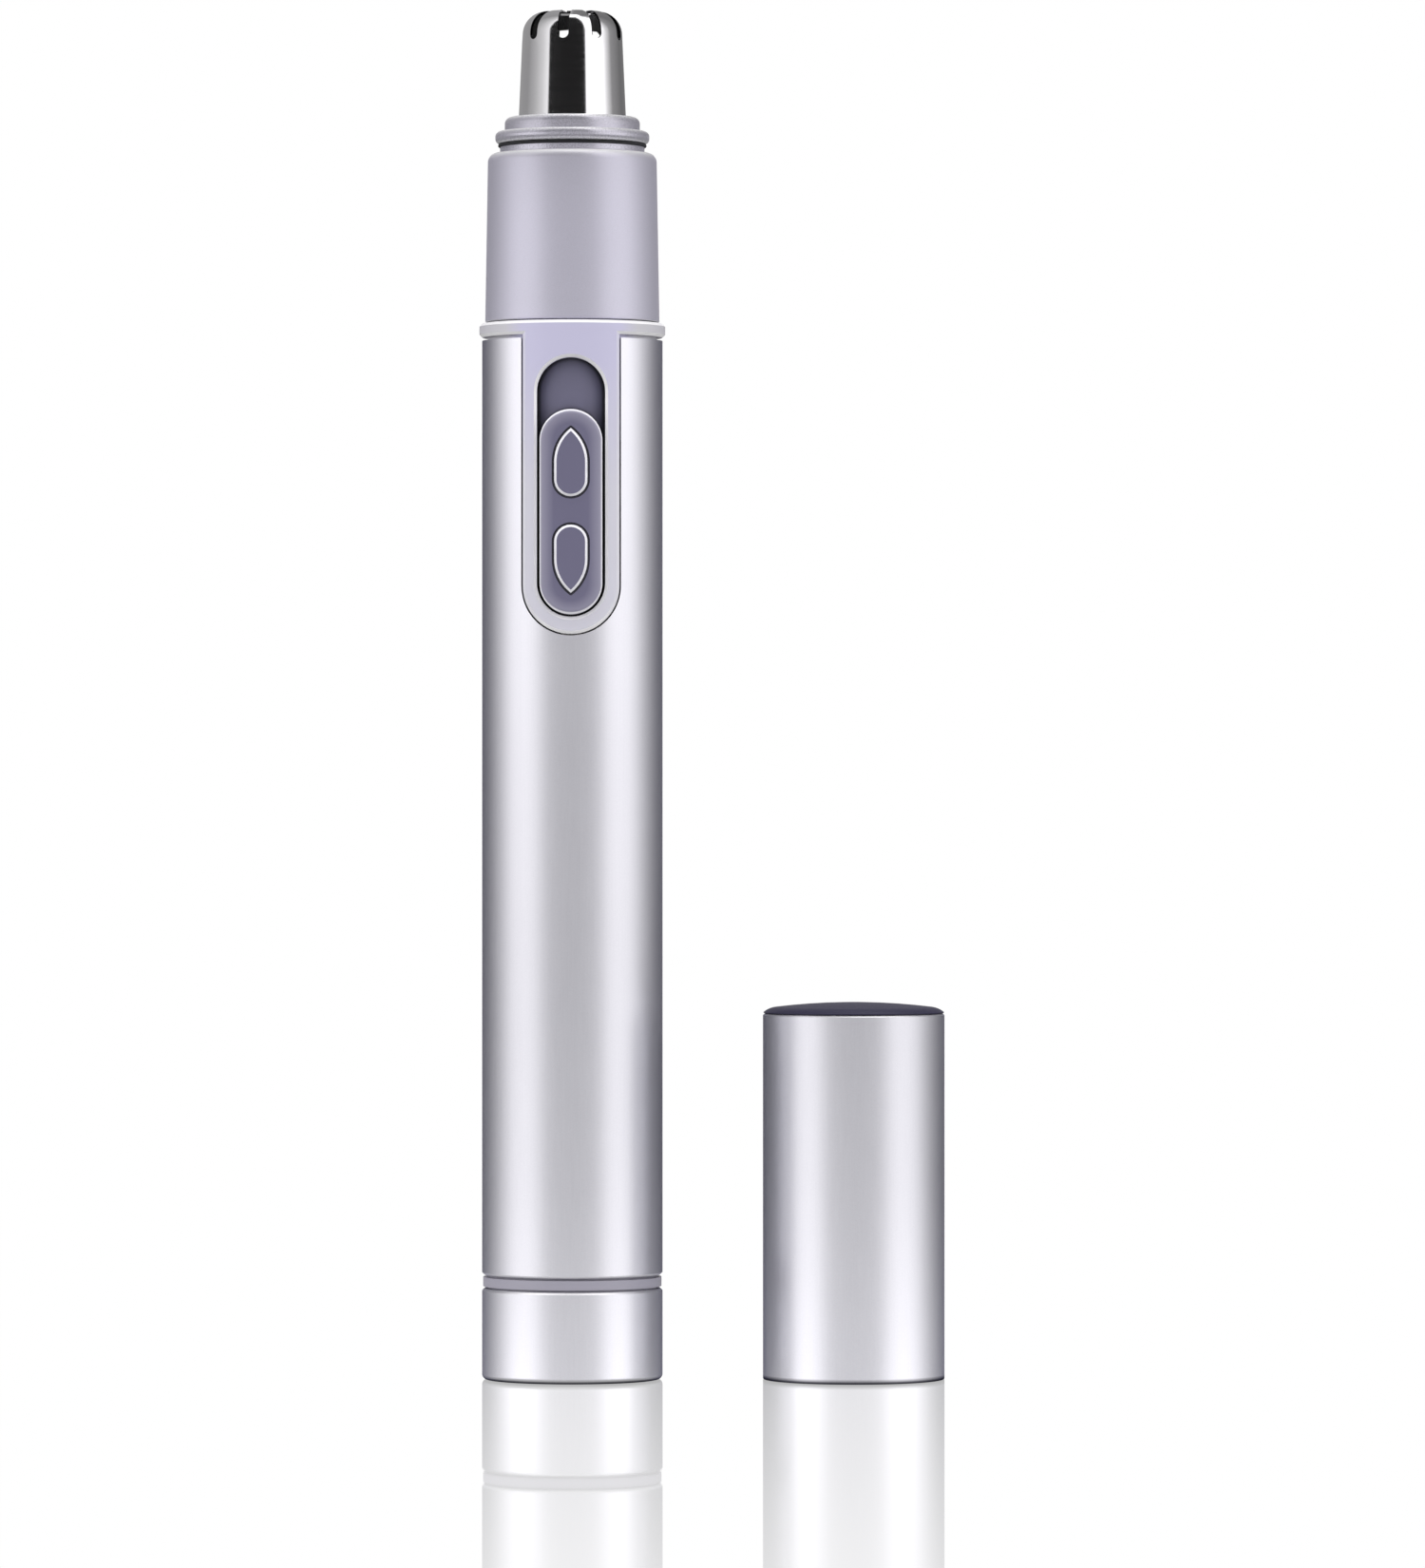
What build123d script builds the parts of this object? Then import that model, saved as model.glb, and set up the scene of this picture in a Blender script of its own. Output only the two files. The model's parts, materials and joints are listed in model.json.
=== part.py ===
"""Battery nose hair trimmer with its loose protective cap, as an assembly of separate pieces.

Frame: millimetres, +Z up along the trimmer's axis, origin at the centre of the base it stands on.
The switch faces the front, -Y. The cap stands beside the trimmer, towards +X.
"""

import math
import os

from build123d import *

os.makedirs("parts", exist_ok=True)

# ---------------------------------------------------------------- driving dimensions
body_radius = 8.5  # aluminium handle tube
body_wall = 0.5
base_height = 8.58  # aluminium battery cover below the coloured band
band_gap = 0.2  # shadow line under the coloured band and over it
tube_bottom = 9.85
tube_top = 97.68
flange_bottom = 98.0  # leaves a narrow shadow groove over the tube
collar_radius = 8.75  # flange and tongue stand proud of the tube
flange_top = 99.3
housing_bottom = 99.42
housing_top = 115.35
housing_base_radius = 8.2
housing_top_radius = 7.95
ring_top = 118.72  # top of the stepped ring round the cutter
guard_top = 128.67
cap_radius = 8.55
cap_wall = 0.3
cap_height = 34.45
cap_x = 26.5  # the loose cap's axis, beside the trimmer
battery_length = 50.5  # AA cell
battery_radius = 7.1
battery_bottom = 6.5
switch_travel = 4.5
stem_half_width = 0.9  # the stem that joins the switch button to its carriage
stem_half_length = 3.0
stem_z = 81.1

clearance = 0.05  # between pieces that are fitted together
sheet = 0.25  # thickness of the stamped contact strips

tube_bore = body_radius - body_wall
battery_top = battery_bottom + battery_length
FRONT = Plane.XZ  # sketch x is X, sketch y is Z, and its normal faces the front
SIDE = Plane.YZ  # sketch x is Y, sketch y is Z


# ---------------------------------------------------------------- shared shapes
def ring(bottom, top, outer, inner=0.0, mode=Mode.ADD):
    """A disc, or a tube where inner is given, on the Z axis of the part being built."""
    with BuildSketch(Plane.XY.offset(bottom)) as section:
        Circle(outer)
        if inner:
            Circle(inner, mode=Mode.SUBTRACT)
    extrude(section.sketch, amount=top - bottom, mode=mode)


def turned(*points, mode=Mode.ADD):
    """A solid of revolution about Z from a closed outline of (radius, height) points."""
    with BuildSketch(FRONT) as section:
        with BuildLine():
            Polyline(*points, close=True)
        make_face()
    revolve(section.sketch, axis=Axis.Z, mode=mode)


def block(low, high, mode=Mode.SUBTRACT):
    """A rectangular block between two corners."""
    centre = [(a + b) / 2 for a, b in zip(low, high)]
    with BuildSketch(Plane.XY.offset(low[2])) as section:
        with Locations((centre[0], centre[1])):
            Rectangle(high[0] - low[0], high[1] - low[1])
    extrude(section.sketch, amount=high[2] - low[2], mode=mode)


def strip(width, *path, mode=Mode.ADD):
    """A bent sheet-metal strip of that width, along (y, z) points in the middle plane."""
    with BuildSketch(SIDE) as section:
        with BuildLine() as line:
            Polyline(*path)
        trace(line.line, line_width=sheet)
    extrude(section.sketch, amount=width / 2, both=True, mode=mode)


def coil(bottom, top, radius, wire, turns):
    """A helical wire spring on the Z axis."""
    rise = top - bottom - wire
    with BuildLine(Plane.XY.offset(bottom + wire / 2)) as centre_line:
        Helix(pitch=rise / turns, height=rise, radius=radius)
    path = centre_line.line
    with BuildSketch(Plane(origin=path @ 0, z_dir=path % 0)) as section:
        Circle(wire / 2)
    sweep(section.sketch, path=path, is_frenet=True)


def cylinder_faces(part, radius, axis_x=0.0):
    """The upright cylindrical faces of that radius, the largest first."""

    def is_upright(face):
        distances = [math.hypot(v.X - axis_x, v.Y) for v in face.vertices()]
        return face.geom_type == GeomType.CYLINDER and all(abs(d - radius) < 1e-4 for d in distances)

    return part.faces().filter_by(is_upright).sort_by(SortBy.AREA, reverse=True)


def rims(part, radius, axis_x=0.0):
    """The circular edges of the largest cylindrical face of that radius, the lowest first."""
    edges = cylinder_faces(part, radius, axis_x)[0].edges()
    return edges.filter_by(GeomType.CIRCLE).sort_by(Axis.Z)


def bounding_edges(face):
    """A cylindrical face's edges without its seam, where the face closes on itself."""
    seams = face.seams
    return ShapeList(edge for edge in face.edges() if edge not in seams)


# ================================================================ battery cover, at the base
cover_floor = 0.6
cover_edge_round = 0.5
rim_chamfer = 0.22  # on the aluminium edges beside the band
insert_radius = tube_bore - clearance
insert_bore = 7.3
insert_floor = 2.0
skirt_radius = tube_bore - 0.08
skirt_top = 16.5
band_bottom = base_height + band_gap
band_top = tube_bottom - band_gap
band_radius = 8.4
strap_width = 2.4
skirt_taper_length = 0.4  # lead-in at the skirt's top
skirt_taper_depth = 0.3
strap_slit_half_width = 1.5
spring_slit_half_width = 0.5
slit_start = 6.5  # inside the skirt's wall
strap_y = 7.475  # the cover's strap stands just inside the tube's return strip

with BuildPart() as cover_shell:
    ring(0, base_height, body_radius)
    ring(cover_floor, base_height, tube_bore, mode=Mode.SUBTRACT)
    fillet(rims(cover_shell, body_radius)[0], cover_edge_round)
    chamfer(rims(cover_shell, body_radius)[-1], rim_chamfer)
cover_shell.part.label = "cover_shell"
export_step(cover_shell.part, "parts/cover_shell.step")

with BuildPart() as cover_insert:
    turned(
        (0, cover_floor + clearance),
        (insert_radius, cover_floor + clearance),
        (insert_radius, band_bottom),
        (band_radius, band_bottom),
        (band_radius, band_top),
        (skirt_radius, band_top),
        (skirt_radius, skirt_top - skirt_taper_length),
        (skirt_radius - skirt_taper_depth, skirt_top),
        (insert_bore, skirt_top),
        (insert_bore, insert_floor),
        (0, insert_floor),
    )
    # the slit for the contact strap, and two more that let the skirt spring
    block(
        (-strap_slit_half_width, slit_start, insert_floor),
        (strap_slit_half_width, insert_radius + 0.01, skirt_top + 1),
    )
    for side in (-1, 1):
        inner, outer = sorted((side * slit_start, side * body_radius))
        block(
            (inner, -spring_slit_half_width, band_top + 1),
            (outer, spring_slit_half_width, skirt_top + 1),
        )
cover_insert.part.label = "cover_insert"
export_step(cover_insert.part, "parts/cover_insert.step")

contact_disc_radius = 6.6
strap_top = 15.2
with BuildPart() as cover_contact:
    ring(insert_floor, insert_floor + sheet, contact_disc_radius)
    disc_z = insert_floor + sheet / 2
    strip(strap_width, (0, disc_z), (strap_y, disc_z), (strap_y, strap_top))
cover_contact.part.label = "cover_contact"
export_step(cover_contact.part, "parts/cover_contact.step")

battery_spring_radius = 4.2
battery_spring_wire = 0.5
battery_spring_turns = 3
with BuildPart() as battery_spring:
    coil(
        insert_floor + sheet,
        battery_bottom - 0.03,
        battery_spring_radius,
        battery_spring_wire,
        battery_spring_turns,
    )
battery_spring.part.label = "battery_spring"
export_step(battery_spring.part, "parts/battery_spring.step")

# ================================================================ AA battery
jacket_thickness = 0.12
can_radius = battery_radius - jacket_thickness
nub_height = 1.2
shoulder_top = battery_top - nub_height
nub_radius = 2.7
washer_radius = 5.6
washer_thickness = 0.2

with BuildPart() as battery_can:
    ring(battery_bottom, shoulder_top, can_radius)
    fillet(battery_can.edges().filter_by(GeomType.CIRCLE).group_by(Axis.Z)[-1], 0.7)
    fillet(battery_can.edges().filter_by(GeomType.CIRCLE).group_by(Axis.Z)[0], 0.4)
battery_can.part.label = "battery_can"
export_step(battery_can.part, "parts/battery_can.step")

with BuildPart() as battery_jacket:
    ring(battery_bottom + 0.5, shoulder_top - 0.8, battery_radius, can_radius)
battery_jacket.part.label = "battery_jacket"
export_step(battery_jacket.part, "parts/battery_jacket.step")

with BuildPart() as battery_washer:
    ring(shoulder_top, shoulder_top + washer_thickness, washer_radius, nub_radius + 0.3)
battery_washer.part.label = "battery_washer"
export_step(battery_washer.part, "parts/battery_washer.step")

with BuildPart() as battery_positive_cap:
    ring(shoulder_top, battery_top, nub_radius)
    fillet(battery_positive_cap.edges().group_by(Axis.Z)[-1], 0.35)
battery_positive_cap.part.label = "battery_positive_cap"
export_step(battery_positive_cap.part, "parts/battery_positive_cap.step")

# ================================================================ handle: tube, collar, housing
tongue_half_width = 4.51
tongue_arc_z = 74.5  # centre of the tongue's round end
tongue_inner_radius = 7.35
slot_half_width = 3.19
slot_bottom = 71.6
slot_top = 95.8
notch_gap = 0.15  # between the tongue and the tube, all round
outside_y = 10  # a plane clear of the front
deep_y = 5  # how far front cuts reach back to


def tongue_outline(half_width, top):
    """The U-shaped outline of the tongue, open at the top, on the front plane."""
    with BuildSketch(FRONT.offset(outside_y)) as outline:
        with Locations((0, tongue_arc_z)):
            Circle(half_width)
        with Locations((0, (tongue_arc_z + top) / 2)):
            Rectangle(2 * half_width, top - tongue_arc_z)
    return outline.sketch


with BuildPart() as body_tube:
    ring(tube_bottom, tube_top, body_radius, tube_bore)
    extrude(
        tongue_outline(tongue_half_width + notch_gap, tube_top + 1),
        amount=-(outside_y - deep_y),
        mode=Mode.SUBTRACT,
    )
    chamfer(rims(body_tube, body_radius)[0], rim_chamfer)
body_tube.part.label = "body_tube"
export_step(body_tube.part, "parts/body_tube.step")

collar_edge = 0.28
slot_edge = 0.3
lower_spigot_bottom = 88.0
upper_spigot_top = 103.5
upper_spigot_radius = 7.55
flange_bore = 7.0

with BuildPart() as collar:
    extrude(tongue_outline(tongue_half_width, flange_top), amount=-(outside_y - deep_y))
    ring(60, flange_top, collar_radius, tongue_inner_radius, mode=Mode.INTERSECT)
    ring(flange_bottom, flange_top, collar_radius, flange_bore)
    chamfer(bounding_edges(cylinder_faces(collar, collar_radius)[0]), collar_edge)
    ring(lower_spigot_bottom, flange_bottom, tube_bore - clearance, tongue_inner_radius)
    ring(flange_top, upper_spigot_top, upper_spigot_radius, flange_bore)
    with BuildSketch(FRONT.offset(outside_y)):
        with Locations((0, (slot_bottom + slot_top) / 2)):
            SlotOverall(slot_top - slot_bottom, 2 * slot_half_width, rotation=90)
    extrude(amount=-(outside_y - deep_y), mode=Mode.SUBTRACT)
    slot_rim = cylinder_faces(collar, collar_radius)[0].inner_wires()[0].edges()
    chamfer(slot_rim, slot_edge)
collar.part.label = "collar"
export_step(collar.part, "parts/collar.step")

housing_corner = 0.85
housing_bore = 6.9
motor_bore = 6.95  # below the motor shelf
spigot_bore = 7.6
motor_shelf_bottom = 109.7
motor_shelf_top = 110.9
boss_hole_radius = 2.1
screw_x = 4.5
screw_hole_radius = 0.85

with BuildPart() as nose_housing:
    with BuildSketch(FRONT):
        with BuildLine():
            outer_side = Line(
                (housing_base_radius, housing_bottom + 0.1),
                (housing_top_radius, housing_top - housing_corner),
            )
            corner_end = (housing_top_radius - housing_corner, housing_top)
            TangentArc(outer_side @ 1, corner_end, tangent=outer_side % 1)
            Polyline(
                corner_end,
                (housing_bore, housing_top),
                (housing_bore, motor_shelf_top),
                (boss_hole_radius, motor_shelf_top),
                (boss_hole_radius, motor_shelf_bottom),
                (motor_bore, motor_shelf_bottom),
                (motor_bore, upper_spigot_top + 0.2),
                (spigot_bore, upper_spigot_top + 0.2),
                (spigot_bore, housing_bottom),
                (housing_base_radius - 0.1, housing_bottom),
                outer_side @ 0,
            )
        make_face()
    revolve(axis=Axis.Z)
    with BuildSketch(Plane.XY.offset(motor_shelf_bottom - 0.1)):
        with Locations((-screw_x, 0), (screw_x, 0)):
            Circle(screw_hole_radius)
    extrude(amount=motor_shelf_top - motor_shelf_bottom + 0.2, mode=Mode.SUBTRACT)
nose_housing.part.label = "nose_housing"
export_step(nose_housing.part, "parts/nose_housing.step")

# ================================================================ inner frame and contacts
sleeve_bottom = 17.0
sleeve_top = 59.0
sleeve_radius = tube_bore - 0.07
sleeve_bore = 7.35
bulkhead_bottom = 57.5
frame_radius = 7.3
frame_floor_bottom = 90.4
frame_floor_top = 91.8
frame_step = 97.6
tower_radius = 6.85
tower_top = 109.4
front_flat = -5.0  # behind the sliding contact
pocket_flat = -5.55  # in front of the motor pocket
motor_radius = 6.0
motor_half_flat = 5.0
terminal_y = 3.85
strip_y = -5.15  # middle of the switch strips, on the front flat
return_y = 7.775  # middle of the return strip, in the frame's channel
channel_half_width = 1.4  # the ways through for the contact strips
recess_bottom = 62.0  # of the flat front, behind the sliding contact
window_half_width = 4.5  # the window at the back
window_bottom = 61.0
window_front = -3.4
terminal_hole_half_width = 1.1
terminal_hole_half_depth = 0.5
far = 8.0  # clear of the frame on every side


def motor_section(grow):
    """The motor's round section with two flats, enlarged by grow."""
    with BuildSketch() as section:
        Circle(motor_radius + grow)
        Rectangle(4 * motor_radius, 2 * (motor_half_flat + grow), mode=Mode.INTERSECT)
    return section.sketch


with BuildPart() as inner_frame:
    ring(sleeve_bottom, sleeve_top, sleeve_radius)
    ring(sleeve_bottom - 1, bulkhead_bottom, sleeve_bore, mode=Mode.SUBTRACT)
    ring(sleeve_top, frame_step, frame_radius)
    ring(frame_step, tower_top, tower_radius)
    block((-far, -far, recess_bottom), (far, front_flat, frame_floor_bottom))
    block((-far, -far, frame_floor_bottom), (far, pocket_flat, frame_step))
    # window at the back, motor pocket, and the ways through for the contacts
    block(
        (-window_half_width, window_front, window_bottom),
        (window_half_width, far, frame_floor_bottom),
    )
    extrude(
        motor_section(clearance).moved(Location((0, 0, frame_floor_top))),
        amount=tower_top - frame_floor_top + 1,
        mode=Mode.SUBTRACT,
    )
    block(
        (-channel_half_width, -far, frame_floor_bottom - 3.4),
        (channel_half_width, window_front + 0.1, frame_floor_bottom),
    )
    block(
        (-channel_half_width, -far, bulkhead_bottom - 1),
        (channel_half_width, front_flat + 0.1, recess_bottom + 0.1),
    )
    for side in (-1, 1):
        middle = side * terminal_y
        block(
            (-terminal_hole_half_width, middle - terminal_hole_half_depth, frame_floor_bottom - 1),
            (terminal_hole_half_width, middle + terminal_hole_half_depth, frame_floor_top + 1),
        )
    block(
        (-channel_half_width, return_y - sheet / 2 - 0.03, sleeve_bottom - 1),
        (channel_half_width, body_radius, sleeve_top + 1),
    )
inner_frame.part.label = "inner_frame"
export_step(inner_frame.part, "parts/inner_frame.step")

plate_middle = 84.0
plate_length = 26.8
plate_width = 7.4
plate_radius = 7.25  # its curved face, just behind the tongue
plate_thickness = 0.55
stem_play = 0.4  # the stem's slot is this much wider and longer than its travel
with BuildPart() as switch_plate:
    with BuildSketch(FRONT.offset(outside_y)):
        with Locations((0, plate_middle)):
            Rectangle(plate_width, plate_length)
    extrude(amount=-(outside_y - deep_y))
    ring(60, 100, plate_radius, plate_radius - plate_thickness, mode=Mode.INTERSECT)
    with BuildSketch(FRONT.offset(outside_y)):
        with Locations((0, stem_z + switch_travel / 2)):
            Rectangle(
                2 * stem_half_width + stem_play,
                2 * stem_half_length + switch_travel + stem_play,
            )
    extrude(amount=-(outside_y - deep_y), mode=Mode.SUBTRACT)
switch_plate.part.label = "switch_plate"
export_step(switch_plate.part, "parts/switch_plate.step")

strip_width = 2.0
feed_strip_top = 84.0
contact_plate_radius = 4.8
with BuildPart() as positive_contact:
    plate_bottom = battery_top + clearance
    plate_z = plate_bottom + sheet / 2
    ring(plate_bottom, plate_bottom + sheet, contact_plate_radius)
    strip(strip_width, (-4, plate_z), (strip_y, plate_z), (strip_y, feed_strip_top))
positive_contact.part.label = "positive_contact"
export_step(positive_contact.part, "parts/positive_contact.step")

terminal_end = 90.25
with BuildPart() as motor_strip:
    strip(strip_width, (strip_y, 86.0), (strip_y, 88.0), (-4.2, 89.1), (-4.2, terminal_end))
motor_strip.part.label = "motor_strip"
export_step(motor_strip.part, "parts/motor_strip.step")

with BuildPart() as negative_strip:
    strip(strap_width, (return_y, 12), (return_y, 84), (4.2, 88.2), (4.2, terminal_end))
negative_strip.part.label = "negative_strip"
export_step(negative_strip.part, "parts/negative_strip.step")

# ================================================================ motor
can_bottom = 94.5
can_top = 109.5
motor_wall = 0.5
motor_bell_bottom = 92.3
shaft_radius = 0.75
bush_radius = 1.4
boss_radius = 2.0
boss_top = 110.4
screw_thread_radius = 0.8

with BuildPart() as motor_can:
    extrude(motor_section(0).moved(Location((0, 0, can_bottom))), amount=can_top - can_bottom)
    extrude(
        motor_section(-motor_wall).moved(Location((0, 0, can_bottom - 1))),
        amount=can_top - can_bottom + 1 - motor_wall,
        mode=Mode.SUBTRACT,
    )
    ring(can_top - motor_wall, boss_top, boss_radius)
    ring(can_top - 2, boss_top + 1, bush_radius, mode=Mode.SUBTRACT)
    with BuildSketch(Plane.XY.offset(can_top - 1)):
        with Locations((-screw_x, 0), (screw_x, 0)):
            Circle(screw_thread_radius)
    extrude(amount=2, mode=Mode.SUBTRACT)
motor_can.part.label = "motor_can"
export_step(motor_can.part, "parts/motor_can.step")

magnet_bottom = 97.0
magnet_top = 106.5
magnet_bore = 4.25
magnet_half_width = 2.9
for side, name in ((-1, "left"), (1, "right")):
    with BuildPart() as magnet:
        ring(magnet_bottom, magnet_top, motor_radius - motor_wall - clearance, magnet_bore)
        with BuildSketch(Plane.XY.offset(magnet_bottom)):
            with Locations((side * motor_radius, 0)):
                Rectangle(motor_radius, 2 * magnet_half_width)
        extrude(amount=magnet_top - magnet_bottom, mode=Mode.INTERSECT)
    magnet.part.label = f"motor_magnet_{name}"
    export_step(magnet.part, f"parts/{magnet.part.label}.step")

bell_spigot = 1.0  # how far the end bell reaches into the can
bell_floor = 93.9
bell_bore = 4.6
with BuildPart() as motor_end_bell:
    extrude(
        motor_section(0).moved(Location((0, 0, motor_bell_bottom))),
        amount=can_bottom - motor_bell_bottom,
    )
    extrude(
        motor_section(-motor_wall - clearance).moved(Location((0, 0, can_bottom))),
        amount=bell_spigot,
    )
    ring(bell_floor, can_bottom + 2, bell_bore, mode=Mode.SUBTRACT)
    ring(motor_bell_bottom - 1, can_bottom, bush_radius, mode=Mode.SUBTRACT)
    for side in (-1, 1):
        middle = side * terminal_y
        block((-0.85, middle - 0.2, motor_bell_bottom - 1), (0.85, middle + 0.2, can_bottom + 0.1))
motor_end_bell.part.label = "motor_end_bell"
export_step(motor_end_bell.part, "parts/motor_end_bell.step")

commutator_radius = 1.6
commutator_bottom = 94.8
commutator_top = 97.3
commutator_gap = 0.25
brush_sheet = 0.2
brush_half_width = 0.4
terminal_half_width = 0.8
terminal_bottom = 88.8
terminal_top = 94.5
terminal_half = 0.15  # half the terminals' thickness
for side, name in ((-1, "positive"), (1, "negative")):
    with BuildPart() as terminal:
        near = side * terminal_y - terminal_half
        far_side = side * terminal_y + terminal_half
        block(
            (-terminal_half_width, near, terminal_bottom),
            (terminal_half_width, far_side, terminal_top),
            mode=Mode.ADD,
        )
        chamfer(terminal.edges().filter_by(Axis.Y).group_by(Axis.Z)[0], 0.3)
    terminal.part.label = f"motor_terminal_{name}"
    export_step(terminal.part, f"parts/{terminal.part.label}.step")

    # a bent leaf from the terminal to the commutator's side
    with BuildPart() as brush:
        with BuildSketch(SIDE):
            with BuildLine() as leaf_line:
                root = side * (terminal_y - terminal_half - brush_sheet / 2)
                tip = side * (commutator_radius + 0.05 + brush_sheet / 2)
                Polyline((root, 94.0), (root, 95.1), (tip, 95.1), (tip, 96.6))
            trace(leaf_line.line, line_width=brush_sheet)
        extrude(amount=brush_half_width, both=True)
    brush.part.label = f"motor_brush_{name}"
    export_step(brush.part, f"parts/{brush.part.label}.step")

bush_bore = shaft_radius + 0.04
with BuildPart() as motor_front_bush:
    ring(can_top - 0.6, boss_top, bush_radius, bush_bore)
    chamfer(rims(motor_front_bush, bush_bore)[-1], 0.12)
motor_front_bush.part.label = "motor_front_bush"
export_step(motor_front_bush.part, "parts/motor_front_bush.step")

with BuildPart() as motor_rear_bush:
    ring(motor_bell_bottom, bell_floor, bush_radius, bush_bore)
    chamfer(rims(motor_rear_bush, bush_bore)[0], 0.12)
motor_rear_bush.part.label = "motor_rear_bush"
export_step(motor_rear_bush.part, "parts/motor_rear_bush.step")

screw_head_radius = 1.3
screw_head_height = 0.8
recess_reach = 0.75  # half the length of each arm of the cross recess
recess_half_width = 0.15
recess_depth = 0.4
with BuildPart() as motor_screws:
    for side in (-1, 1):
        with BuildSketch(Plane.XY.offset(motor_shelf_top)):
            with Locations((side * screw_x, 0)):
                Circle(screw_head_radius)
        extrude(amount=screw_head_height)
        with BuildSketch(Plane.XY.offset(can_top - 0.5)):
            with Locations((side * screw_x, 0)):
                Circle(screw_thread_radius - 0.02)
        extrude(amount=motor_shelf_top - can_top + 0.5)
    head_rims = motor_screws.edges().filter_by(GeomType.CIRCLE).group_by(Axis.Z)[-1]
    fillet(head_rims, 0.25)
    # a cross recess in each head
    for side in (-1, 1):
        head_top = motor_shelf_top + screw_head_height
        x = side * screw_x
        for half_x, half_y in ((recess_reach, recess_half_width), (recess_half_width, recess_reach)):
            block((x - half_x, -half_y, head_top - recess_depth), (x + half_x, half_y, head_top + 1))
motor_screws.part.label = "motor_screws"
export_step(motor_screws.part, "parts/motor_screws.step")

# ---------------------------------------------------------------- what turns in the motor
shaft_bottom = 92.6
shaft_top = 112.9
core_bottom = 98.0
core_top = 105.5
core_radius = 4.0
pole_count = 3
core_rim = 0.7  # thickness of the pole shoes
hub_outer = 1.5
pole_width = 1.6
winding_inner = 1.6
winding_outer = 3.1
winding_height = 0.6  # of the wire above and below the core, and on each side of an arm

with BuildPart() as motor_shaft:
    ring(shaft_bottom, shaft_top, shaft_radius)
    chamfer(motor_shaft.edges().filter_by(GeomType.CIRCLE), 0.12)
motor_shaft.part.label = "motor_shaft"
export_step(motor_shaft.part, "parts/motor_shaft.step")

with BuildPart() as motor_core:
    ring(core_bottom, core_top, core_radius, core_radius - core_rim)
    # three gaps split the rim into pole shoes, which arms join to the hub
    with BuildSketch(Plane.XY.offset(core_bottom)):
        with PolarLocations(core_radius, pole_count, start_angle=60):
            Rectangle(2.4, 0.9)
    extrude(amount=core_top - core_bottom, mode=Mode.SUBTRACT)
    ring(core_bottom, core_top, hub_outer)
    with BuildSketch(Plane.XY.offset(core_bottom)):
        with PolarLocations((core_radius - 0.4) / 2, pole_count):
            Rectangle(core_radius - 0.4, pole_width)
    extrude(amount=core_top - core_bottom)
    ring(core_bottom - 1, core_top + 1, shaft_radius, mode=Mode.SUBTRACT)
motor_core.part.label = "motor_core"
export_step(motor_core.part, "parts/motor_core.step")

for index in range(pole_count):
    # a loop of wire round one arm, standing out past both ends of the core
    with BuildPart() as winding:
        middle = (winding_outer + winding_inner) / 2
        angle = index * 360 / pole_count
        with BuildSketch(Plane.XY.offset(core_bottom - winding_height)):
            with PolarLocations(middle, 1, start_angle=angle):
                RectangleRounded(winding_outer - winding_inner, pole_width + 2 * winding_height, 0.2)
        extrude(amount=core_top - core_bottom + 2 * winding_height)
        ring(core_bottom - 1, core_top + 1, core_radius - core_rim - clearance, mode=Mode.INTERSECT)
        with BuildSketch(Plane.XY.offset(core_bottom)):
            with PolarLocations(middle, 1, start_angle=angle):
                Rectangle(4, pole_width)
        extrude(amount=core_top - core_bottom, mode=Mode.SUBTRACT)
    winding.part.label = f"motor_winding_{index + 1}"
    export_step(winding.part, f"parts/{winding.part.label}.step")

with BuildPart() as motor_commutator:
    ring(commutator_bottom, commutator_top, commutator_radius, shaft_radius)
    with BuildSketch(Plane.XY.offset(commutator_bottom)):
        with PolarLocations(commutator_radius, pole_count, start_angle=60):
            Rectangle(0.8, commutator_gap)
    extrude(amount=commutator_top - commutator_bottom, mode=Mode.SUBTRACT)
motor_commutator.part.label = "motor_commutator"
export_step(motor_commutator.part, "parts/motor_commutator.step")

coupler_bottom = 111.1
coupler_top = 115.0
coupler_radius = 1.95
socket_side = 2.1
socket_bottom = 113.05
with BuildPart() as drive_coupler:
    ring(coupler_bottom, coupler_top, coupler_radius)
    chamfer(drive_coupler.edges().group_by(Axis.Z)[-1], 0.2)
    ring(coupler_bottom - 1, shaft_top, shaft_radius, mode=Mode.SUBTRACT)
    half = socket_side / 2
    block((-half, -half, socket_bottom), (half, half, coupler_top + 1))
drive_coupler.part.label = "drive_coupler"
export_step(drive_coupler.part, "parts/drive_coupler.step")

# ================================================================ cutter head, which pulls off
skirt_bottom = 112.0
head_skirt_radius = 6.8
gasket_bottom = 115.9
gasket_top = 116.2
gasket_bore = 6.45
bead_radius = 7.25
bead_top = 117.4
step_radius = 6.36
guard_bore = 5.22
guard_seat = 116.67
seat_radius = 5.75
guard_flange = 5.7
guard_foot = 116.42
guard_wall = 0.25
skirt_bore = 5.9
skirt_chamfer = 0.3
bead_round = 0.5
step_round = 0.6
counterbore_bottom = 115.4
gasket_radius = 6.99

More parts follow.
